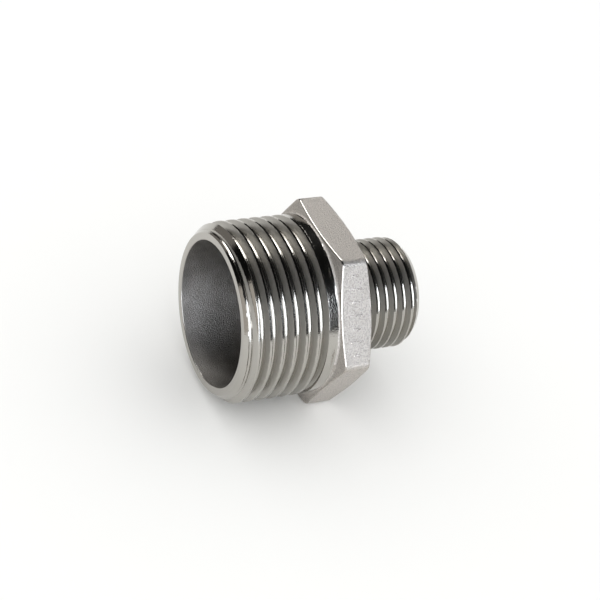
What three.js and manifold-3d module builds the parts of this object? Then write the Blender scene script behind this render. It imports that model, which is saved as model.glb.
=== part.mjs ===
// A reducing hexagon nipple, male to male: one stainless steel casting with a parallel pipe thread cut on each end.
// Its axis is X. The large thread starts at the low end, the small thread ends at the high end, and two flats of
// the hexagon face up and down. The origin is half way along the axis.
import * as THREE from "three";
import { mergeVertices } from "three/addons/utils/BufferGeometryUtils.js";
import Module from "manifold-3d";

// Driving dimensions, in millimetres. Both threads are 55 degree Whitworth pipe threads, right-handed.
const LARGE = {
  majorRadius: 33.249 / 2,
  pitch: 2.309,
  depth: 1.479,
  crestAt: 1.12, // a crest's distance from the large end face, on the side that faces +Y
  boreRadius: 13.5,
  faceRadius: 14.85,
  chamferLength: 2.05,
};
const SMALL = {
  majorRadius: 20.955 / 2,
  pitch: 1.814,
  depth: 1.162,
  crestAt: 28.03,
  boreRadius: 7.5,
  faceRadius: 9.15,
  chamferLength: 1.5,
};
const LARGE_THREAD_LENGTH = 15.6;
const LARGE_SHANK_LENGTH = 2.4;
const HEX_LENGTH = 5.95;
const SMALL_SHANK_LENGTH = 2.05;
const SMALL_THREAD_LENGTH = 12.4;
const ACROSS_FLATS = 34;
const CORNER_ROUNDING = 1.8;
const CORNER_CHAMFER_START = 17.1; // radius where the corners of the hexagon start to fall away
const CORNER_CHAMFER_ANGLE = THREE.MathUtils.degToRad(14);
const FILLET_LENGTH = 0.8; // of the fillet between a shank and the hexagon, along the axis
const LARGE_FILLET_HEIGHT = 0.45;
const SMALL_FILLET_HEIGHT = 0.8;

const ROUND_STEPS = 48; // flat sides of every round surface
const FILLET_STEPS = 3;
const CORNER_STEPS = 3;
const SPARE = 5; // how far a cutting tool runs past what it cuts

// Places along the axis, measured from the large end face.
const SHANK_START = LARGE_THREAD_LENGTH;
const HEX_START = SHANK_START + LARGE_SHANK_LENGTH;
const HEX_END = HEX_START + HEX_LENGTH;
const SMALL_THREAD_START = HEX_END + SMALL_SHANK_LENGTH;
const TOTAL_LENGTH = SMALL_THREAD_START + SMALL_THREAD_LENGTH;

const wasm = await Module();
wasm.setup();

// A closed three.js geometry as a solid that can be joined and cut.
function solid(geometry) {
  const bare = geometry.clone();
  bare.deleteAttribute("normal");
  bare.deleteAttribute("uv");
  const merged = mergeVertices(bare, 1e-4);
  return new wasm.Manifold(
    new wasm.Mesh({
      numProp: 3,
      vertProperties: merged.attributes.position.array,
      triVerts: new Uint32Array(merged.index.array),
    }),
  );
}

// A cut solid as a three.js geometry again.
function geometryOf(cut) {
  const mesh = cut.getMesh();
  const corners = new Float32Array(mesh.numVert * 3);
  for (let i = 0; i < mesh.numVert; i += 1) {
    corners.set(mesh.vertProperties.subarray(i * mesh.numProp, i * mesh.numProp + 3), i * 3);
  }
  return new THREE.BufferGeometry()
    .setAttribute("position", new THREE.BufferAttribute(corners, 3))
    .setIndex(new THREE.BufferAttribute(mesh.triVerts, 1));
}

// A solid turned about the X axis. The outline is a list of [distance along the axis, radius].
function turned(outline) {
  const points = outline.map(([along, radius]) => new THREE.Vector2(radius, along));
  const lathe = new THREE.LatheGeometry(points, ROUND_STEPS);
  return solid(lathe.rotateZ(-Math.PI / 2));
}

// The passage through the whole nipple: the large bore, a cone inside the hexagon, and the small bore.
const passage = turned([
  [-SPARE, 0],
  [-SPARE, LARGE.boreRadius],
  [HEX_START, LARGE.boreRadius],
  [HEX_END, SMALL.boreRadius],
  [TOTAL_LENGTH + SPARE, SMALL.boreRadius],
  [TOTAL_LENGTH + SPARE, 0],
]);

// A rod with a thread all along it, longer than the stretch it is wanted for. Each row of points follows the helix,
// so a row that comes round to the start meets the row one pitch further on.
function threadedRod(thread, from, to) {
  const flat = thread.pitch / 12; // half the width of a crest or a root
  const minorRadius = thread.majorRadius - thread.depth;
  const onePitch = [
    [-flat, thread.majorRadius],
    [flat, thread.majorRadius],
    [thread.pitch / 2 - flat, minorRadius],
    [thread.pitch / 2 + flat, minorRadius],
  ];
  const rows = onePitch.length;
  const turnsBefore = Math.ceil((thread.crestAt - from) / thread.pitch) + 2;
  const first = thread.crestAt - turnsBefore * thread.pitch;
  const turns = Math.ceil((to - first) / thread.pitch) + 2;
  const rowCount = turns * rows + 1;
  const corners = [];
  for (let step = 0; step < ROUND_STEPS; step += 1) {
    const turn = step / ROUND_STEPS;
    const angle = turn * 2 * Math.PI;
    for (let row = 0; row < rowCount; row += 1) {
      const [offset, radius] = onePitch[row % rows];
      const along = first + offset + (Math.floor(row / rows) + turn) * thread.pitch;
      corners.push(along, radius * Math.cos(angle), radius * Math.sin(angle));
    }
  }
  const lowCentre = corners.length / 3;
  corners.push(first + thread.pitch / 2, 0, 0);
  corners.push(first + (turns + 0.5) * thread.pitch, 0, 0);
  const highCentre = lowCentre + 1;
  const faces = [];
  const at = (step, row) => {
    const round = Math.floor(step / ROUND_STEPS);
    return (step % ROUND_STEPS) * rowCount + row + round * rows;
  };
  for (let step = 0; step < ROUND_STEPS; step += 1) {
    const last = step === ROUND_STEPS - 1;
    const rowsHere = last ? rowCount - 1 - rows : rowCount - 1;
    for (let row = 0; row < rowsHere; row += 1) {
      faces.push(at(step, row), at(step + 1, row + 1), at(step, row + 1));
      faces.push(at(step, row), at(step + 1, row), at(step + 1, row + 1));
    }
    faces.push(lowCentre, at(step + 1, 0), at(step, 0));
    faces.push(highCentre, at(step, rowsHere), at(step + 1, rowsHere));
  }
  const lastStep = ROUND_STEPS - 1;
  for (let row = 0; row < rows; row += 1) {
    const high = rowCount - 1 - rows + row;
    faces.push(lowCentre, at(0, row), at(0, row + 1));
    faces.push(highCentre, at(lastStep, high + 1), at(lastStep, high));
  }
  const rod = new THREE.BufferGeometry();
  rod.setAttribute("position", new THREE.BufferAttribute(new Float32Array(corners), 3));
  rod.setIndex(faces);
  return solid(rod);
}

// The wall of one threaded end: a chamfered blank from its end face to its shank, threaded and bored.
function threadedEnd(thread, face, shank) {
  const inwards = Math.sign(shank - face);
  const outline = [
    [face, 0],
    [face, thread.faceRadius],
    [face + inwards * thread.chamferLength, thread.majorRadius],
    [shank, thread.majorRadius],
    [shank, 0],
  ];
  const blank = turned(inwards > 0 ? outline : outline.reverse());
  const from = Math.min(face, shank);
  const to = Math.max(face, shank);
  return threadedRod(thread, from, to).intersect(blank).subtract(passage);
}

// A hexagonal bar along the axis, with rounded corners and two of its flats facing up and down.
function hexagonalBar(from, to) {
  const outline = new THREE.Shape();
  const sideAngle = Math.PI / 3;
  const flatToCentre = ACROSS_FLATS / 2 - CORNER_ROUNDING;
  const cornerToCentre = flatToCentre / Math.cos(sideAngle / 2);
  for (let side = 0; side < 6; side += 1) {
    const corner = side * sideAngle;
    const centreY = cornerToCentre * Math.cos(corner);
    const centreZ = cornerToCentre * Math.sin(corner);
    const start = corner - sideAngle / 2;
    outline.absarc(centreY, centreZ, CORNER_ROUNDING, start, corner + sideAngle / 2, false);
  }
  outline.closePath();
  const bar = new THREE.ExtrudeGeometry(outline, {
    depth: to - from,
    bevelEnabled: false,
    curveSegments: CORNER_STEPS,
  });
  // The outline is drawn in X and Y and extruded along Z: turn those to Y, Z and X.
  const turn = new THREE.Matrix4().set(0, 0, 1, from, 1, 0, 0, 0, 0, 1, 0, 0, 0, 0, 0, 1);
  return solid(bar.applyMatrix4(turn));
}

// The plain ring between a thread and the hexagon, with a fillet that opens onto the face of the hexagon.
function shank(thread, threadEnd, hexFace, filletHeight) {
  const towards = Math.sign(hexFace - threadEnd);
  const outline = [
    [threadEnd, 0],
    [threadEnd, thread.majorRadius],
  ];
  for (let step = 0; step <= FILLET_STEPS; step += 1) {
    const angle = (step / FILLET_STEPS) * (Math.PI / 2);
    const along = hexFace - towards * FILLET_LENGTH * (1 - Math.sin(angle));
    outline.push([along, thread.majorRadius + filletHeight * (1 - Math.cos(angle))]);
  }
  outline.push([hexFace, 0]);
  const ring = turned(towards > 0 ? outline : outline.reverse());
  const bar = hexagonalBar(-SPARE, TOTAL_LENGTH + SPARE);
  return ring.intersect(bar).subtract(passage);
}

// The hexagon, with its corners chamfered on both faces.
function hexCollar() {
  const reach = ACROSS_FLATS / 2 / Math.cos(Math.PI / 6) + 1;
  const fall = (reach - CORNER_CHAMFER_START) * Math.tan(CORNER_CHAMFER_ANGLE);
  const chamfers = turned([
    [HEX_START, 0],
    [HEX_START, CORNER_CHAMFER_START],
    [HEX_START + fall, reach],
    [HEX_END - fall, reach],
    [HEX_END, CORNER_CHAMFER_START],
    [HEX_END, 0],
  ]);
  return hexagonalBar(HEX_START, HEX_END).intersect(chamfers).subtract(passage);
}

const turnedSteel = { color: 0xa8a6a1, roughness: 0.22, metalness: 1 };
const castSteel = { color: 0xaba9a5, roughness: 0.45, metalness: 1 };

const nipple = new THREE.Group();
nipple.position.x = -TOTAL_LENGTH / 2;
function add(name, cut, finish) {
  const piece = new THREE.Mesh(geometryOf(cut), new THREE.MeshStandardMaterial(finish));
  piece.name = name;
  nipple.add(piece);
}
add("large_threaded_end", threadedEnd(LARGE, 0, SHANK_START), turnedSteel);
add("large_shank", shank(LARGE, SHANK_START, HEX_START, LARGE_FILLET_HEIGHT), turnedSteel);
add("hex_collar", hexCollar(), castSteel);
add("small_shank", shank(SMALL, SMALL_THREAD_START, HEX_END, SMALL_FILLET_HEIGHT), turnedSteel);
add("small_threaded_end", threadedEnd(SMALL, TOTAL_LENGTH, SMALL_THREAD_START), turnedSteel);

const group = new THREE.Group();
group.add(nipple);
export default group;
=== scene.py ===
"""A reducing hexagon nipple in stainless steel, G 1 by G 1/2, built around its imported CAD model.

It is laid out as an add-on: the sizes and colours are properties, each piece has an operator, and a panel
lists them. All lengths are in metres. The part's axis is X, with the large thread at the low end.
"""

import math

import bmesh
import bpy
from bpy.props import FloatProperty, FloatVectorProperty, IntProperty, PointerProperty
from mathutils import Matrix, Vector


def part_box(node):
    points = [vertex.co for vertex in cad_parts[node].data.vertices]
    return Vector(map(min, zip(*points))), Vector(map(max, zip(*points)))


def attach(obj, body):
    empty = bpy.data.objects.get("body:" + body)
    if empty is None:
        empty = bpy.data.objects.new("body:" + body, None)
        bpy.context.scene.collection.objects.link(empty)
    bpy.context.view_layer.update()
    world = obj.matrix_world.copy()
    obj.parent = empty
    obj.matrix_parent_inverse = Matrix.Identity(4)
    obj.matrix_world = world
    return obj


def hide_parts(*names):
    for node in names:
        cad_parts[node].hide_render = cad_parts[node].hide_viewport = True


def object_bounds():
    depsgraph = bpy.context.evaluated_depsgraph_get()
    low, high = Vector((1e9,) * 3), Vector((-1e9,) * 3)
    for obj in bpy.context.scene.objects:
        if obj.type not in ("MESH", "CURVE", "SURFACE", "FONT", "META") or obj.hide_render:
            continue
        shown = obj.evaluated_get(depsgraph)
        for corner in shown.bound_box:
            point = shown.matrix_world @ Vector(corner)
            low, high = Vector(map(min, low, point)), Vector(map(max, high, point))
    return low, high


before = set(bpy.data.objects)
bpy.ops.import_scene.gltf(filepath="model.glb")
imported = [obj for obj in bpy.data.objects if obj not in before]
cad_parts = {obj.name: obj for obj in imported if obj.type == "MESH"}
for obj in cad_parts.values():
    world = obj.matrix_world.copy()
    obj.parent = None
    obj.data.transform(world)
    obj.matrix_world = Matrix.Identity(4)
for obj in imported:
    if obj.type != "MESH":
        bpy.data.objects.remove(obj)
CAD_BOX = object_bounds()

bl_info = {
    "name": "Reducing hexagon nipple",
    "version": (1, 0, 0),
    "blender": (4, 5, 0),
    "location": "3D View > Sidebar > Nipple",
    "description": "Makes a stainless steel reducing hexagon nipple around its CAD model",
    "category": "Object",
}

MM = 0.001
LARGE_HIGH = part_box("large_threaded_end")[1]
HEX_LOW, HEX_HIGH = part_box("hex_collar")
SMALL_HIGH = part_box("small_threaded_end")[1]
LARGE_FACE = CAD_BOX[0].x
SMALL_FACE = CAD_BOX[1].x
SEAM_ROUNDING = 0.02 * MM  # of an edge that is hidden in a seam
LEAST_CHANGE = 0.01 * MM  # a radius that differs by more than this was changed on purpose
SHARP = math.radians(35)  # the smallest angle at which an edge is shaded sharp
HEX_SIDE = math.pi / 3  # angle of one side of the hexagon, seen from the axis

# The 55 degree thread form, as shares of the pitch where a share is given.
HALF_ANGLE = math.radians(27.5)
ROOT_ARC = 0.137329
THREAD_DEPTH = 0.640327
CREST_HALF = 1 / 12
TORN_POWER = 0.35  # well under 1, so that a flank is torn from close above its root

# Softboxes round the part: azimuth from -Y towards +X, spread in azimuth, lowest and highest elevation, in
# degrees, then radiance and colour. The rest of the room is dark, which gives polished steel its black bands.
SOFTBOXES = {
    "key_softbox": (-12, 66, 1, 50, 6.6, "#EDF4FF"),
    "top_softbox": (-177, 50, 33, 68, 7.5, "#FFFFFF"),
    "left_card": (-66, 36, 0, 40, 0.68, "#FFF9F2"),
    "back_card": (-152, 36, 0, 32, 0.27, "#FFF9F2"),
    "right_card": (36, 24, 0, 24, 0.05, "#FFF9F2"),
}
SOFTBOX_DISTANCE = 0.8


def linear(code):
    """An sRGB hex code as linear red, green, blue and alpha."""
    parts = [int(code[i : i + 2], 16) / 255 for i in (1, 3, 5)]
    return (*[c / 12.92 if c <= 0.04045 else ((c + 0.055) / 1.055) ** 2.4 for c in parts], 1.0)


def length(name, description, millimetres):
    """A length property, with its default in millimetres."""
    return FloatProperty(
        name=name, description=description, default=millimetres * MM, unit="LENGTH", precision=5
    )


def angle(name, description, degrees):
    """An angle property, with its default in degrees."""
    return FloatProperty(
        name=name, description=description, default=math.radians(degrees), subtype="ANGLE"
    )


def colour(name, description, code):
    """A colour property, with its default as an sRGB hex code."""
    return FloatVectorProperty(
        name=name, description=description, default=linear(code), size=4, subtype="COLOR", min=0, max=1
    )


class LargeThreadSizes(bpy.types.PropertyGroup):
    """The G 1 end."""

    major_radius: length("Major radius", "Radius over the crests", LARGE_HIGH.z / MM)
    pitch: length("Pitch", "Distance from crest to crest, 11 threads per inch", 2.309)
    crest_at: length("Crest at", "A crest's place on the +Y side, from the end face", 1.12)
    face_radius: length("Face radius", "Outer radius of the flat end face", 14.85)
    chamfer: length("Chamfer", "Length of the lead-in chamfer along the axis", 2.05)
    bore_radius: length("Bore radius", "Radius of the cast bore", 13.5)
    stretch: length("Stretch", "From the end face to the seam in the plain shank", 15.8)
    runout_start: length("Run-out start", "Where the groove starts to fade, from the end face", 15.0)
    runout_end: length("Run-out end", "Where the groove has gone", 15.7)
    segments: IntProperty(name="Segments", description="Steps around the axis", default=240)
    rings: IntProperty(name="Rings", description="Steps along the thread", default=305)


class SmallThreadSizes(bpy.types.PropertyGroup):
    """The G 1/2 end."""

    major_radius: length("Major radius", "Radius over the crests", SMALL_HIGH.z / MM)
    pitch: length("Pitch", "Distance from crest to crest, 14 threads per inch", 1.814)
    crest_at: length("Crest at", "A crest's place on the +Y side, from the end face", 10.37)
    face_radius: length("Face radius", "Outer radius of the flat end face", 9.15)
    chamfer: length("Chamfer", "Length of the lead-in chamfer along the axis", 1.5)
    bore_radius: length("Bore radius", "Radius of the cast bore", 7.5)
    stretch: length("Stretch", "From the end face to the seam in the plain shank", 12.5)
    runout_start: length("Run-out start", "Where the groove starts to fade, from the end face", 11.7)
    runout_end: length("Run-out end", "Where the groove has gone", 12.3)
    segments: IntProperty(name="Segments", description="Steps around the axis", default=192)
    rings: IntProperty(name="Rings", description="Steps along the thread", default=300)


class HexSizes(bpy.types.PropertyGroup):
    """The hexagon, its cast marks and the cone inside it."""

    corner_rounding: length("Corner rounding", "Radius of the six upright corners", 1.8)
    near_rounding: length("Near rounding", "Radius along the edges on the large side", 0.3)
    far_rounding: length("Far rounding", "Radius along the edges on the small side", 0.18)
    chamfer_start: length("Chamfer start", "Radius where the corners start to fall away", 17.1)
    chamfer_angle: angle("Chamfer angle", "How far the corner chamfer leans from the face", 14)
    fillet: length("Fillet", "Radius between a shank and the hexagon", 0.8)
    cone_rounding: length("Cone rounding", "Radius where the inner cone meets the bores", 1.5)
    tick_count: IntProperty(name="Ticks", description="How many cast ticks the flat carries", default=7)
    tick_spacing: length("Tick spacing", "From one cast tick to the next along the flat", 2.4)
    long_tick: length("Long tick", "Length of every other tick, between its round ends", 2.2)
    short_tick: length("Short tick", "Length of the ticks between the long ones", 1.1)
    tick_width: length("Tick width", "Width of a tick at its foot", 0.34)
    tick_height: length("Tick height", "Height of a tick over the flat", 0.008)


class FinishSizes(bpy.types.PropertyGroup):
    """Colours of the finishes, and the sizes of their patterns."""

    turned_colour: colour("Turned steel", "Bright turned stainless steel", "#B1AEA8")
    cast_colour: colour("Cast steel", "Blasted and pickled stainless steel casting", "#BEB8B1")
    bore_colour: colour("Cast bore", "As-cast skin inside the bore", "#95918C")
    floor_colour: colour("Floor", "Pale studio floor", "#F4F4F2")
    # The real turning marks, dents and grains are about a tenth of a millimetre across, and would not show.
    # They are drawn coarser, and their heights go with that size.
    feed: length("Feed", "Spacing of the turning marks, drawn coarser than real", 0.16)
    feed_height: length("Feed height", "Height of the turning marks", 0.0002)
    polish: length("Polish", "Size of the ripples that polishing leaves", 0.3)
    polish_height: length("Polish height", "Height of the ripples that polishing leaves", 0.008)
    pebble: length("Pebble", "Size of the pebbles of the tumbled skin, drawn coarser than real", 0.28)
    pebble_height: length("Pebble height", "Height of the pebbles of the tumbled skin", 0.02)
    grit: length("Grit", "Size of the dents that the blasting leaves, drawn coarser than real", 0.27)
    grit_height: length("Grit height", "Depth of the dents that the blasting leaves", 0.22)
    skin: length("Skin", "Size of the grains of the cast skin, drawn coarser than real", 0.21)
    skin_height: length("Skin height", "Height of the grains of the cast skin", 0.16)
    stain: length("Stain", "Size of the stains in the bore", 5)


class StageSizes(bpy.types.PropertyGroup):
    """The camera, the floor and the brightness of the studio."""

    aim: FloatVectorProperty(
        name="Aim",
        description="The point that the camera looks at",
        default=(-3.33 * MM, -3.43 * MM, 3.75 * MM),
        subtype="TRANSLATION",
    )
    distance: length("Distance", "From the aim to the camera", 310)
    azimuth: angle("Azimuth", "Camera's turn about Z, where 0 looks along +Y", -32.77)
    elevation: angle("Elevation", "Camera's height above the horizon", 37.32)
    roll: angle("Roll", "Camera's turn about its own line of sight", 14.02)
    lens: FloatProperty(name="Lens", description="Focal length in millimetres", default=102.13)
    floor_size: length("Floor size", "Side of the square floor", 6000)
    tent: FloatProperty(name="Tent", description="Brightness of the white tent", default=1.12)
    room: FloatProperty(name="Room", description="Brightness of the dark room", default=0.004)


def add(tree, kind, settings=(), inputs=()):
    """Adds a node to a tree, with its settings and its inputs, which are values or other nodes' outputs."""
    node = tree.nodes.new(kind)
    for name, value in dict(settings).items():
        setattr(node, name, value)
    for name, value in dict(inputs).items():
        socket = node.inputs[name]
        if isinstance(value, bpy.types.NodeSocket):
            tree.links.new(value, socket)
        else:
            socket.default_value = value
    return node


def named_material(name, maker):
    """The material of that name, which its maker fills with nodes on first use."""
    material = bpy.data.materials.get(name)
    if material is None:
        material = bpy.data.materials.new(name)
        material.use_nodes = True
        tree = material.node_tree
        tree.nodes.clear()
        shader = maker(tree, bpy.context.scene.nipple_finishes)
        add(tree, "ShaderNodeOutputMaterial", inputs={"Surface": shader.outputs[0]})
    return material


def turned_steel(tree, sizes):
    """Stainless steel turned on a lathe: almost a mirror, with faint tool rings and ripples from polishing.

    The flanks of the threads are torn by the die, more so towards the crest, so they only glow.
    """
    place = add(tree, "ShaderNodeTexCoord").outputs["Object"]
    along = add(tree, "ShaderNodeSeparateXYZ", inputs={0: place}).outputs["X"]
    wave = add(tree, "ShaderNodeMath", {"operation": "MULTIPLY"}, {0: along, 1: math.tau / sizes.feed})
    rings = add(tree, "ShaderNodeMath", {"operation": "SINE"}, {0: wave.outputs[0]})
    ripples = add(
        tree, "ShaderNodeTexNoise", inputs={"Vector": place, "Scale": 1 / sizes.polish, "Detail": 1.0}
    )
    ring_bump = add(
        tree,
        "ShaderNodeBump",
        inputs={"Height": rings.outputs[0], "Strength": 1.0, "Distance": sizes.feed_height},
    )
    bump = add(
        tree,
        "ShaderNodeBump",
        inputs={
            "Height": ripples.outputs[0],
            "Normal": ring_bump.outputs[0],
            "Strength": 1.0,
            "Distance": sizes.polish_height,
        },
    )
    flank = add(tree, "ShaderNodeAttribute", {"attribute_name": "flank"})
    roughness = add(
        tree,
        "ShaderNodeMapRange",
        inputs={"Value": flank.outputs["Fac"], "To Min": 0.12, "To Max": 0.42},
    )
    return add(
        tree,
        "ShaderNodeBsdfPrincipled",
        inputs={
            "Base Color": sizes.turned_colour,
            "Metallic": 1.0,
            "Roughness": roughness.outputs[0],
            "Normal": bump.outputs[0],
        },
    )


def tumbled_skin(tree, sizes):
    """Cast skin, tumbled bright on the shanks: it mirrors, but its pebbles break up every edge."""
    place = add(tree, "ShaderNodeTexCoord").outputs["Object"]
    pebbles = add(
        tree, "ShaderNodeTexNoise", inputs={"Vector": place, "Scale": 1 / sizes.pebble, "Detail": 2.0}
    )
    bump = add(
        tree,
        "ShaderNodeBump",
        inputs={"Height": pebbles.outputs[0], "Strength": 1.0, "Distance": sizes.pebble_height},
    )
    return add(
        tree,
        "ShaderNodeBsdfPrincipled",
        inputs={
            "Base Color": sizes.turned_colour,
            "Metallic": 1.0,
            "Roughness": 0.14,
            "Normal": bump.outputs[0],
        },
    )


def cast_steel(tree, sizes):
    """Investment cast stainless steel, blasted and pickled: satin and pale, with a fine sparkling grain.

    Tumbling has burnished its edges, so they shine.
    """
    place = add(tree, "ShaderNodeTexCoord").outputs["Object"]
    dents = add(
        tree,
        "ShaderNodeTexNoise",
        inputs={"Vector": place, "Scale": 1 / sizes.grit, "Detail": 3.0, "Roughness": 0.6},
    )
    edges = add(tree, "ShaderNodeNewGeometry").outputs["Pointiness"]
    plain = add(
        tree,
        "ShaderNodeMapRange",
        inputs={"Value": edges, "From Min": 0.505, "From Max": 0.514, "To Min": 1.0, "To Max": 0.1},
    )
    bump = add(
        tree,
        "ShaderNodeBump",
        inputs={"Height": dents.outputs[0], "Strength": plain.outputs[0], "Distance": sizes.grit_height},
    )
    pits = add(
        tree,
        "ShaderNodeMapRange",
        inputs={"Value": dents.outputs[0], "From Min": 0.38, "From Max": 0.55, "To Min": 0.7, "To Max": 1.0},
    )
    shaded = add(
        tree,
        "ShaderNodeVectorMath",
        {"operation": "SCALE"},
        {0: sizes.cast_colour[:3], "Scale": pits.outputs[0]},
    )
    roughness = add(
        tree, "ShaderNodeMapRange", inputs={"Value": plain.outputs[0], "To Min": 0.2, "To Max": 0.52}
    )
    return add(
        tree,
        "ShaderNodeBsdfPrincipled",
        inputs={
            "Base Color": shaded.outputs[0],
            "Metallic": 1.0,
            "Roughness": roughness.outputs[0],
            "Normal": bump.outputs[0],
        },
    )


def cast_bore(tree, sizes):
    """The as-cast skin of the bore: dull, stained and coarse, because the blasting hardly reaches it."""
    place = add(tree, "ShaderNodeTexCoord").outputs["Object"]
    grains = add(
        tree,
        "ShaderNodeTexNoise",
        inputs={"Vector": place, "Scale": 1 / sizes.skin, "Detail": 3.0, "Roughness": 0.6},
    )
    stains = add(
        tree, "ShaderNodeTexNoise", inputs={"Vector": place, "Scale": 1 / sizes.stain, "Detail": 2.0}
    )
    bump = add(
        tree,
        "ShaderNodeBump",
        inputs={"Height": grains.outputs[0], "Strength": 1.0, "Distance": sizes.skin_height},
    )
    patches = add(
        tree,
        "ShaderNodeMapRange",
        inputs={"Value": stains.outputs[0], "From Min": 0.3, "From Max": 0.7, "To Min": 0.7, "To Max": 1.1},
    )
    shaded = add(
        tree,
        "ShaderNodeVectorMath",
        {"operation": "SCALE"},
        {0: sizes.bore_colour[:3], "Scale": patches.outputs[0]},
    )
    roughness = add(
        tree, "ShaderNodeMapRange", inputs={"Value": grains.outputs[0], "To Min": 0.3, "To Max": 0.62}
    )
    return add(
        tree,
        "ShaderNodeBsdfPrincipled",
        inputs={
            "Base Color": shaded.outputs[0],
            "Metallic": 1.0,
            "Roughness": roughness.outputs[0],
            "Normal": bump.outputs[0],
        },
    )


def matt_floor(tree, sizes):
    """A matt painted board: pale and even, so that nothing shows on it but a soft shadow."""
    return add(
        tree, "ShaderNodeBsdfPrincipled", inputs={"Base Color": sizes.floor_colour, "Roughness": 0.9}
    )


def spaced(start, end, steps):
    """Points from start up to end, closer near both ends, which keeps smooth shading flat between edges."""
    shares = [(1 - math.cos(math.pi * k / steps)) / 2 for k in range(steps)]
    return [start.lerp(end, share) for share in shares]


LONGEST_CUT = 0.47  # share of a side that the rounding of one corner may take


def rounded_section(corners, radii, straights, arc_steps=8):
    """A closed outline with rounded corners. It always has the same number of points for the same counts.

    Each arc is a rational quadratic curve, which is an exact part of a circle.
    """
    count = len(corners)
    cuts = []
    for i in range(count):
        before = corners[i - 1] - corners[i]
        after = corners[(i + 1) % count] - corners[i]
        half = before.angle(after) / 2
        reach = min(radii[i] / math.tan(half), LONGEST_CUT * before.length, LONGEST_CUT * after.length)
        start = corners[i] + before.normalized() * reach
        end = corners[i] + after.normalized() * reach
        cuts.append((start, end, math.sin(half)))
    points = []
    for i in range(count):
        start, end, weight = cuts[i]
        for k in range(arc_steps):
            t = k / arc_steps
            shares = ((1 - t) ** 2, 2 * weight * t * (1 - t), t**2)
            total = sum(shares)
            points.append((start * shares[0] + corners[i] * shares[1] + end * shares[2]) / total)
        points += spaced(end, cuts[(i + 1) % count][0], straights[i])
    return points


def closed_mesh(name, vertices, faces):
    """A smooth mesh whose faces all point outwards."""
    mesh = bpy.data.meshes.new(name)
    mesh.from_pydata(vertices, [], faces)
    work = bmesh.new()
    work.from_mesh(mesh)
    bmesh.ops.recalc_face_normals(work, faces=work.faces)
    work.to_mesh(mesh)
    work.free()
    mesh.shade_smooth()
    return mesh


def ring_mesh(name, sections, angles):
    """A closed ring from one section of (along, radius) points at each angle about the X axis."""
    count = len(sections[0])
    vertices = []
    for section, turn in zip(sections, angles):
        vertices += [(p.x, p.y * math.cos(turn), p.y * math.sin(turn)) for p in section]
    faces = []
    for j in range(len(angles)):
        here = j * count
        there = (j + 1) % len(angles) * count
        for i in range(count):
            k = (i + 1) % count
            faces.append((here + i, here + k, there + k, there + i))
    return closed_mesh(name, vertices, faces)


def show(name, mesh):
    """Puts a mesh in the scene as an object at the origin."""
    piece = bpy.data.objects.new(name, mesh)
    bpy.context.scene.collection.objects.link(piece)
    return piece


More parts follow.
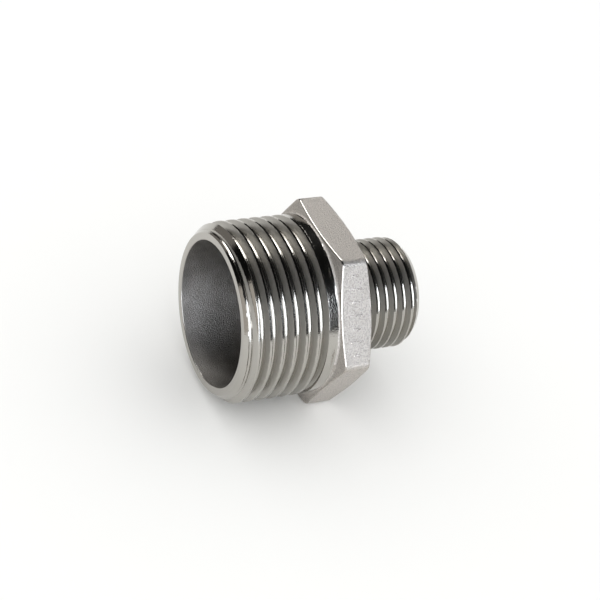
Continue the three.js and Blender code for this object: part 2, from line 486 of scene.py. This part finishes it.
# The sums that cut the thread, in order: a name, a Math operation, and its terms. A term is a number, or the
# name of an earlier sum, of a coordinate, or of one of the tree's inputs.
THREAD_SUMS = (
    ("y squared", "POWER", "y", 2.0),
    ("z squared", "POWER", "z", 2.0),
    ("radius squared", "ADD", "y squared", "z squared"),
    ("radius", "SQRT", "radius squared"),
    ("angle", "ARCTAN2", "z", "y"),
    ("turn", "DIVIDE", "angle", math.tau),
    # How many pitches a point lies past the first crest, less the share of a turn that the helix has climbed.
    ("past first crest", "SUBTRACT", "x", "Crest At"),
    ("pitches", "DIVIDE", "past first crest", "Pitch"),
    ("phase", "SUBTRACT", "pitches", "turn"),
    ("groove", "FLOOR", "phase"),
    ("share", "PINGPONG", "phase", 0.5),
    ("from crest", "MULTIPLY", "share", "Pitch"),
    # A flat crest with sharp edges, then a straight flank. Points close to a crest's edge are moved onto it.
    ("crest half", "MULTIPLY", "Pitch", CREST_HALF),
    ("past crest", "SUBTRACT", "from crest", "crest half"),
    ("off edge", "ABSOLUTE", "past crest"),
    ("at edge", "LESS_THAN", "off edge", "Snap"),
    ("short of crest", "SUBTRACT", "Major Radius", "radius"),
    ("on blank", "LESS_THAN", "short of crest", LEAST_CHANGE),
    ("snaps", "MULTIPLY", "at edge", "on blank"),
    ("shift", "MULTIPLY", "past crest", "snaps"),
    ("past edge", "SUBTRACT", "past crest", "shift"),
    ("fraction", "SUBTRACT", "phase", "groove"),
    ("rising", "LESS_THAN", "fraction", 0.5),
    ("direction", "MULTIPLY_ADD", "rising", 2.0, -1.0),
    ("signed shift", "MULTIPLY", "shift", "direction"),
    ("new x", "SUBTRACT", "x", "signed shift"),
    ("flank", "DIVIDE", "past edge", math.tan(HALF_ANGLE)),
    ("flank drop", "MAXIMUM", "flank", 0.0),
    # The root is an arc, tangent to both flanks.
    ("half pitch", "MULTIPLY", "Pitch", 0.5),
    ("to root", "SUBTRACT", "half pitch", "from crest"),
    ("arc", "MULTIPLY", "Pitch", ROOT_ARC),
    ("arc squared", "POWER", "arc", 2.0),
    ("to root squared", "POWER", "to root", 2.0),
    ("height squared", "SUBTRACT", "arc squared", "to root squared"),
    ("safe square", "MAXIMUM", "height squared", 0.0),
    ("arc height", "SQRT", "safe square"),
    ("lift", "SUBTRACT", "arc", "arc height"),
    ("depth", "MULTIPLY", "Pitch", THREAD_DEPTH),
    ("root drop", "SUBTRACT", "depth", "lift"),
    ("root half", "MULTIPLY", "arc", math.cos(HALF_ANGLE)),
    ("in root", "LESS_THAN", "to root", "root half"),
    ("root less flank", "SUBTRACT", "root drop", "flank drop"),
    ("drop", "MULTIPLY_ADD", "root less flank", "in root", "flank drop"),
    # The groove gets shallower where the tool is drawn out, along its own helix.
    ("grooves", "ADD", "groove", "turn"),
    ("groove middle", "ADD", "grooves", 0.5),
    ("groove along", "MULTIPLY", "groove middle", "Pitch"),
    ("groove at", "ADD", "groove along", "Crest At"),
    ("still to go", "SUBTRACT", "Run-out End", "groove at"),
    ("run-out", "SUBTRACT", "Run-out End", "Run-out Start"),
    ("share to go", "DIVIDE", "still to go", "run-out"),
    ("at most all", "MINIMUM", "share to go", 1.0),
    ("kept", "MAXIMUM", "at most all", 0.0),
    ("cut", "MULTIPLY", "drop", "kept"),
    ("thread radius", "SUBTRACT", "Major Radius", "cut"),
    ("cut radius", "MINIMUM", "radius", "thread radius"),
    ("scale", "DIVIDE", "cut radius", "radius"),
    ("new y", "MULTIPLY", "y", "scale"),
    ("new z", "MULTIPLY", "z", "scale"),
    # How far up a flank a point lies, from 0 at the root to 1 at the crest, and 0 wherever nothing was cut.
    ("flank and root", "SUBTRACT", "half pitch", "crest half"),
    ("flank width", "SUBTRACT", "flank and root", "root half"),
    ("up flank", "SUBTRACT", "to root", "root half"),
    ("share up", "DIVIDE", "up flank", "flank width"),
    ("not below", "MAXIMUM", "share up", 0.0),
    ("even share", "MINIMUM", "not below", 1.0),
    ("not above", "POWER", "even share", TORN_POWER),
    ("below crest", "SUBTRACT", "radius", "cut radius"),
    ("is cut", "GREATER_THAN", "below crest", LEAST_CHANGE),
    ("flank share", "MULTIPLY", "not above", "is cut"),
    # Which points lie in the bore.
    ("in bore", "LESS_THAN", "radius", "Bore Limit"),
)
THREAD_LENGTHS = (
    "Major Radius",
    "Pitch",
    "Crest At",
    "Run-out Start",
    "Run-out End",
    "Snap",
    "Bore Limit",
)


def thread_cutting_tree():
    """Geometry nodes that cut a Whitworth thread into a turned blank about the X axis."""
    tree = bpy.data.node_groups.new("cut_whitworth_thread", "GeometryNodeTree")
    face = tree.interface
    face.new_socket("Geometry", in_out="INPUT", socket_type="NodeSocketGeometry")
    for name in THREAD_LENGTHS:
        face.new_socket(name, in_out="INPUT", socket_type="NodeSocketFloat")
    for name in ("Turned Steel", "Bore Skin"):
        face.new_socket(name, in_out="INPUT", socket_type="NodeSocketMaterial")
    face.new_socket("Geometry", in_out="OUTPUT", socket_type="NodeSocketGeometry")

    given = add(tree, "NodeGroupInput").outputs
    position = add(tree, "GeometryNodeInputPosition").outputs[0]
    place = add(tree, "ShaderNodeSeparateXYZ", inputs={0: position}).outputs
    values = {"x": place["X"], "y": place["Y"], "z": place["Z"]}
    values.update({name: given[name] for name in THREAD_LENGTHS})
    for name, operation, *terms in THREAD_SUMS:
        inputs = {i: values.get(term, term) for i, term in enumerate(terms)}
        node = add(tree, "ShaderNodeMath", {"operation": operation, "label": name}, inputs)
        values[name] = node.outputs[0]

    # The attributes are stored while the points still stand on the blank, because the sums read their places.
    flanks = add(
        tree,
        "GeometryNodeStoreNamedAttribute",
        {"data_type": "FLOAT", "domain": "POINT"},
        {"Geometry": given["Geometry"], "Name": "flank", "Value": values["flank share"]},
    )
    bored = add(
        tree,
        "GeometryNodeStoreNamedAttribute",
        {"data_type": "BOOLEAN", "domain": "FACE"},
        {"Geometry": flanks.outputs[0], "Name": "bore", "Value": values["in bore"]},
    )
    places = {axis: values["new " + axis.lower()] for axis in "XYZ"}
    moved = add(tree, "ShaderNodeCombineXYZ", inputs=places)
    cut = add(
        tree,
        "GeometryNodeSetPosition",
        inputs={"Geometry": bored.outputs[0], "Position": moved.outputs[0]},
    )
    real = add(tree, "GeometryNodeRealizeInstances", inputs={"Geometry": cut.outputs[0]})
    turned = add(
        tree,
        "GeometryNodeSetMaterial",
        inputs={"Geometry": real.outputs[0], "Material": given["Turned Steel"]},
    )
    inside = add(tree, "GeometryNodeInputNamedAttribute", {"data_type": "BOOLEAN"}, {"Name": "bore"})
    skinned = add(
        tree,
        "GeometryNodeSetMaterial",
        inputs={
            "Geometry": turned.outputs[0],
            "Selection": inside.outputs["Attribute"],
            "Material": given["Bore Skin"],
        },
    )
    add(tree, "NodeGroupOutput", inputs={"Geometry": skinned.outputs[0]})
    return tree


def run_tree(piece, tree, values):
    """Runs geometry nodes on a piece with the named inputs, and keeps the result as a plain mesh."""
    modifier = piece.modifiers.new(tree.name, "NODES")
    modifier.node_group = tree
    sockets = {s.name: s.identifier for s in tree.interface.items_tree if s.in_out == "INPUT"}
    for name, value in values.items():
        modifier[sockets[name]] = value
    depsgraph = bpy.context.evaluated_depsgraph_get()
    made = bpy.data.meshes.new_from_object(piece.evaluated_get(depsgraph), depsgraph=depsgraph)
    piece.modifiers.remove(modifier)
    blank = piece.data
    piece.data = made
    made.name = blank.name
    bpy.data.meshes.remove(blank)
    made.shade_smooth()
    made.set_sharp_from_angle(angle=SHARP)


EDGE_BREAK = 0.1 * MM  # rounding of the turned edges at an end
BORE_BREAK = 0.2 * MM  # rounding where the end face meets the bore
CHAMFER_DENSITY = 1.3  # rings on the chamfer, for each ring on the same length of thread
BORE_MARGIN = 0.03 * MM  # how far from the bore's radius a face still counts as its wall


def threaded_end(name, sizes, face, inwards, node):
    """One threaded end: a turned, chamfered and bored blank, with its thread cut by geometry nodes."""
    seam = face + inwards * sizes.stretch
    thread_start = face + inwards * sizes.chamfer
    # The thread cuts the chamfer too, so it is as finely divided, and a little more because it slopes.
    chamfer_steps = round(CHAMFER_DENSITY * sizes.rings * sizes.chamfer / sizes.stretch)
    points = (
        # along, radius, rounding, steps to the next corner
        (seam, sizes.major_radius, SEAM_ROUNDING, 1),
        (thread_start, sizes.major_radius, EDGE_BREAK, chamfer_steps),
        (face, sizes.face_radius, EDGE_BREAK, 6),
        (face, sizes.bore_radius, BORE_BREAK, 16),
        (seam, sizes.bore_radius, SEAM_ROUNDING, 4),
    )
    along, radius, roundings, steps = zip(*points)
    corners = [Vector(pair) for pair in zip(along, radius)]
    arc_steps = 4
    section = rounded_section(corners, roundings, steps, arc_steps)
    # Even rings replace the first straight, so that every turn of the thread is equally fine.
    start, end = section[arc_steps], section[arc_steps + 1]
    even = [start.lerp(end, k / sizes.rings) for k in range(sizes.rings)]
    section = section[:arc_steps] + even + section[arc_steps + 1 :]
    angles = [math.tau * k / sizes.segments for k in range(sizes.segments)]
    piece = show(name, ring_mesh(name, [section] * sizes.segments, angles))
    tree = bpy.data.node_groups.get("cut_whitworth_thread") or thread_cutting_tree()
    run_tree(
        piece,
        tree,
        {
            "Major Radius": sizes.major_radius,
            "Pitch": sizes.pitch,
            "Crest At": face + inwards * sizes.crest_at,
            "Run-out Start": face + inwards * sizes.runout_start,
            "Run-out End": face + inwards * sizes.runout_end,
            "Snap": (end - start).length / sizes.rings / 2,
            "Bore Limit": sizes.bore_radius + BORE_MARGIN,
            "Turned Steel": named_material("lathe_turned_stainless", turned_steel),
            "Bore Skin": named_material("as_cast_stainless", cast_bore),
        },
    )
    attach(piece, "root")
    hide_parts(node)


class NIPPLE_OT_large_thread(bpy.types.Operator):
    """Makes the large threaded end"""

    bl_idname = "nipple.large_thread"
    bl_label = "Large threaded end"

    def execute(self, context):
        sizes = context.scene.nipple_large
        threaded_end("large_threaded_end_fine", sizes, LARGE_FACE, 1, "large_threaded_end")
        return {"FINISHED"}


class NIPPLE_OT_small_thread(bpy.types.Operator):
    """Makes the small threaded end"""

    bl_idname = "nipple.small_thread"
    bl_label = "Small threaded end"

    def execute(self, context):
        sizes = context.scene.nipple_small
        threaded_end("small_threaded_end_fine", sizes, SMALL_FACE, -1, "small_threaded_end")
        return {"FINISHED"}


def hexagon_outline(across_flats, rounding, flat_steps=16, arc_steps=10):
    """Angle and radius of points around a hexagon with rounded corners, two flats square to Z."""
    flat_to_centre = across_flats / 2 - rounding
    corner_to_centre = flat_to_centre / math.cos(HEX_SIDE / 2)
    ends = []
    for side in range(6):
        corner = side * HEX_SIDE
        centre = Vector((math.cos(corner), math.sin(corner))) * corner_to_centre
        for k in range(arc_steps + 1):
            lean = corner + HEX_SIDE * (k / arc_steps - 0.5)
            ends.append(centre + Vector((math.cos(lean), math.sin(lean))) * rounding)
    points = []
    for i, point in enumerate(ends):
        after = ends[(i + 1) % len(ends)]
        flat = i % (arc_steps + 1) == arc_steps
        points += spaced(point, after, flat_steps) if flat else [point]
    return [(math.atan2(p.y, p.x), p.length) for p in points]


LEAST_STEP = 0.08 * MM  # how far inside the flats the face on the small side ends, so no two corners meet
CAST, TUMBLED, BORE = range(3)  # the collar's materials, by their place in its list


def collar_section(reach, sizes, large, small):
    """The collar's section where the hexagon reaches that far out: its shanks, its side and the passage."""
    near, far = HEX_LOW.x, HEX_HIGH.x
    large_seam = LARGE_FACE + large.stretch
    small_seam = SMALL_FACE - small.stretch
    lean = math.tan(sizes.chamfer_angle)
    # The near face leans back from the shank to the chamfer's edge, so the fillet opens onto it.
    foot = near - (sizes.chamfer_start - large.major_radius) * lean
    far_edge = min(sizes.chamfer_start, reach - LEAST_STEP)
    points = (
        # along, radius, rounding, steps to the next corner
        (large_seam, large.major_radius, SEAM_ROUNDING, 6),
        (foot, large.major_radius, sizes.fillet, 10),
        (near + (reach - sizes.chamfer_start) * lean, reach, sizes.near_rounding, 14),
        (far - max(reach - sizes.chamfer_start, 0) * lean, reach, sizes.far_rounding, 8),
        (far, far_edge, sizes.far_rounding, 12),
        (far, small.major_radius, sizes.fillet, 5),
        (small_seam, small.major_radius, SEAM_ROUNDING, 2),
        (small_seam, small.bore_radius, SEAM_ROUNDING, 3),
        (far, small.bore_radius, sizes.cone_rounding, 10),
        (near, large.bore_radius, sizes.cone_rounding, 3),
        (large_seam, large.bore_radius, SEAM_ROUNDING, 2),
    )
    along, radius, roundings, steps = zip(*points)
    corners = [Vector(pair) for pair in zip(along, radius)]
    return rounded_section(corners, radii=roundings, straights=steps)


class NIPPLE_OT_hexagon(bpy.types.Operator):
    """Makes the hexagon, with the plain shank stubs on both sides and the cone inside"""

    bl_idname = "nipple.hexagon"
    bl_label = "Hexagon"

    def execute(self, context):
        scene = context.scene
        sizes, large, small = scene.nipple_hex, scene.nipple_large, scene.nipple_small
        outline = hexagon_outline(2 * HEX_HIGH.z, sizes.corner_rounding)
        sections = [collar_section(reach, sizes, large, small) for turn, reach in outline]
        mesh = ring_mesh("hex_collar_fine", sections, [turn for turn, reach in outline])
        mesh.materials.append(named_material("blasted_cast_stainless", cast_steel))
        mesh.materials.append(named_material("tumbled_shank_skin", tumbled_skin))
        mesh.materials.append(named_material("as_cast_stainless", cast_bore))
        cone_slope = (large.bore_radius - small.bore_radius) / (HEX_HIGH.x - HEX_LOW.x)
        for face in mesh.polygons:
            along, radius = face.center.x, math.hypot(face.center.y, face.center.z)
            cone = small.bore_radius + max(HEX_HIGH.x - along, 0) * cone_slope
            if radius < min(large.bore_radius, cone) + 0.5 * sizes.cone_rounding:
                face.material_index = BORE
            elif along < HEX_LOW.x - sizes.fillet / 2 or along > HEX_HIGH.x + sizes.fillet / 2:
                face.material_index = TUMBLED
            else:
                face.material_index = CAST
        piece = show("hex_collar_fine", mesh)
        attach(piece, "root")
        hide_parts("large_shank", "hex_collar", "small_shank")
        return {"FINISHED"}


# The outlines of a tick from its foot, sunk into the flat, to its top: shares of its width and of its height.
TICK_LEVELS = ((1.0, -0.5), (0.8, 0.6), (0.4, 1.0))
TICK_END_STEPS = 6


def tick_outline(centre, tick_length, width):
    """A bar with round ends that lies across the flat: places along the flat and across it."""
    outline = []
    for end in (1, -1):
        middle = centre + Vector((0, end * tick_length / 2))
        for k in range(TICK_END_STEPS + 1):
            lean = end * math.pi / 2 + math.pi * (k / TICK_END_STEPS - 0.5)
            outline.append(middle + Vector((math.cos(lean), math.sin(lean))) * width / 2)
    return outline


class NIPPLE_OT_cast_marks(bpy.types.Operator):
    """Makes the low raised ticks on one flat, a plain scale in place of the foundry's marks"""

    bl_idname = "nipple.cast_marks"
    bl_label = "Cast marks"

    def execute(self, context):
        sizes = context.scene.nipple_hex
        tilt = HEX_SIDE / 2
        outwards = Vector((0, -math.cos(tilt), math.sin(tilt)))
        along_flat = Vector((0, -math.sin(tilt), -math.cos(tilt)))
        middle = Vector(((HEX_LOW.x + HEX_HIGH.x) / 2, 0, 0)) + outwards * HEX_HIGH.z
        vertices, faces = [], []
        for tick in range(sizes.tick_count):
            place = tick - (sizes.tick_count - 1) / 2
            centre = Vector((place * sizes.tick_spacing, 0))
            tick_length = sizes.short_tick if tick % 2 == 0 else sizes.long_tick
            first = len(vertices)
            for share_of_width, share_of_height in TICK_LEVELS:
                lift = outwards * share_of_height * sizes.tick_height
                outline = tick_outline(centre, tick_length, share_of_width * sizes.tick_width)
                vertices += [middle + along_flat * p.x + Vector((p.y, 0, 0)) + lift for p in outline]
            count = len(outline)
            top = first + (len(TICK_LEVELS) - 1) * count
            for low in range(first, top, count):
                for i in range(count):
                    k = (i + 1) % count
                    faces.append((low + i, low + k, low + count + k, low + count + i))
            faces.append([first + i for i in range(count)])
            faces.append([top + i for i in range(count)])
        mesh = closed_mesh("cast_marks", vertices, faces)
        mesh.materials.append(named_material("blasted_cast_stainless", cast_steel))
        piece = show("cast_marks", mesh)
        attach(piece, "root")
        return {"FINISHED"}


def towards(azimuth, elevation):
    """The direction at that azimuth, turned from -Y towards +X, and that elevation."""
    level = math.cos(elevation)
    return Vector((math.sin(azimuth) * level, -math.cos(azimuth) * level, math.sin(elevation)))


def softbox(name, azimuth, spread, low, high, radiance, code):
    """A glowing panel that faces the part. Only reflections see it: the tent lights the floor."""
    middle = (low + high) / 2
    out = towards(azimuth, middle)
    data = bpy.data.lights.new(name, "AREA")
    data.shape = "RECTANGLE"
    data.size = 2 * SOFTBOX_DISTANCE * math.cos(middle) * math.tan(spread / 2)
    data.size_y = 2 * SOFTBOX_DISTANCE * math.tan((high - low) / 2)
    data.energy = math.pi * data.size * data.size_y * radiance
    data.color = linear(code)[:3]
    light = bpy.data.objects.new(name, data)
    bpy.context.scene.collection.objects.link(light)
    light.location = out * SOFTBOX_DISTANCE
    light.rotation_euler = (-out).to_track_quat("-Z", "Y").to_euler()
    light.visible_diffuse = False


def studio_world(sizes):
    """A white tent to the floor and the camera, and to reflections a dark room in which softboxes glow."""
    world = bpy.data.worlds.new("studio")
    world.use_nodes = True
    world.cycles.sampling_method = "NONE"  # it is even all round, so there is no bright spot to look for
    tree = world.node_tree
    tree.nodes.clear()
    ray = add(tree, "ShaderNodeLightPath").outputs
    white = (1, 1, 1, 1)
    tent = add(tree, "ShaderNodeBackground", inputs={"Color": white, "Strength": sizes.tent})
    room = add(tree, "ShaderNodeBackground", inputs={"Color": white, "Strength": sizes.room})
    mixed = add(
        tree,
        "ShaderNodeMixShader",
        inputs={0: ray["Is Glossy Ray"], 1: tent.outputs[0], 2: room.outputs[0]},
    )
    add(tree, "ShaderNodeOutputWorld", inputs={"Surface": mixed.outputs[0]})
    return world


class NIPPLE_OT_stage(bpy.types.Operator):
    """Makes the floor, the lights and the camera"""

    bl_idname = "nipple.stage"
    bl_label = "Stage"

    def execute(self, context):
        scene = context.scene
        sizes = scene.nipple_stage
        half = sizes.floor_size / 2
        level = CAD_BOX[0].z
        mesh = bpy.data.meshes.new("studio_floor")
        corners = [(x * half, y * half, level) for x, y in ((-1, -1), (1, -1), (1, 1), (-1, 1))]
        mesh.from_pydata(corners, [], [(0, 1, 2, 3)])
        mesh.materials.append(named_material("matt_painted_floor", matt_floor))
        show("studio_floor", mesh)

        scene.world = studio_world(sizes)
        for name, (*angles, radiance, code) in SOFTBOXES.items():
            softbox(name, *map(math.radians, angles), radiance, code)

        camera = bpy.data.objects.new("camera", bpy.data.cameras.new("camera"))
        scene.collection.objects.link(camera)
        scene.camera = camera
        camera.data.lens = sizes.lens
        camera.data.clip_start = 10 * MM
        back = towards(sizes.azimuth, sizes.elevation)
        turn = (-back).to_track_quat("-Z", "Y").to_matrix() @ Matrix.Rotation(sizes.roll, 3, "Z")
        place = Vector(sizes.aim) + back * sizes.distance
        camera.matrix_world = Matrix.Translation(place) @ turn.to_4x4()
        scene.view_settings.view_transform = "Standard"
        return {"FINISHED"}


GROUPS = {
    "nipple_large": LargeThreadSizes,
    "nipple_small": SmallThreadSizes,
    "nipple_hex": HexSizes,
    "nipple_finishes": FinishSizes,
    "nipple_stage": StageSizes,
}
STEPS = (
    NIPPLE_OT_large_thread,
    NIPPLE_OT_hexagon,
    NIPPLE_OT_cast_marks,
    NIPPLE_OT_small_thread,
    NIPPLE_OT_stage,
)


class NIPPLE_PT_panel(bpy.types.Panel):
    """Lists the pieces and their sizes"""

    bl_label = "Nipple"
    bl_space_type = "VIEW_3D"
    bl_region_type = "UI"
    bl_category = "Nipple"

    def draw(self, context):
        for operator in STEPS:
            self.layout.operator(operator.bl_idname)
        for name in GROUPS:
            group = getattr(context.scene, name)
            box = self.layout.box()
            box.label(text=name.replace("_", " "))
            for key in group.__annotations__:
                box.prop(group, key)


def register():
    for group in GROUPS.values():
        bpy.utils.register_class(group)
    for name, group in GROUPS.items():
        setattr(bpy.types.Scene, name, PointerProperty(type=group))
    for item in (*STEPS, NIPPLE_PT_panel):
        bpy.utils.register_class(item)


def unregister():
    for item in (NIPPLE_PT_panel, *reversed(STEPS)):
        bpy.utils.unregister_class(item)
    for name, group in reversed(GROUPS.items()):
        delattr(bpy.types.Scene, name)
        bpy.utils.unregister_class(group)


def main():
    register()
    for step in STEPS:
        category, name = step.bl_idname.split(".")
        getattr(getattr(bpy.ops, category), name)()


if __name__ == "__main__":
    main()
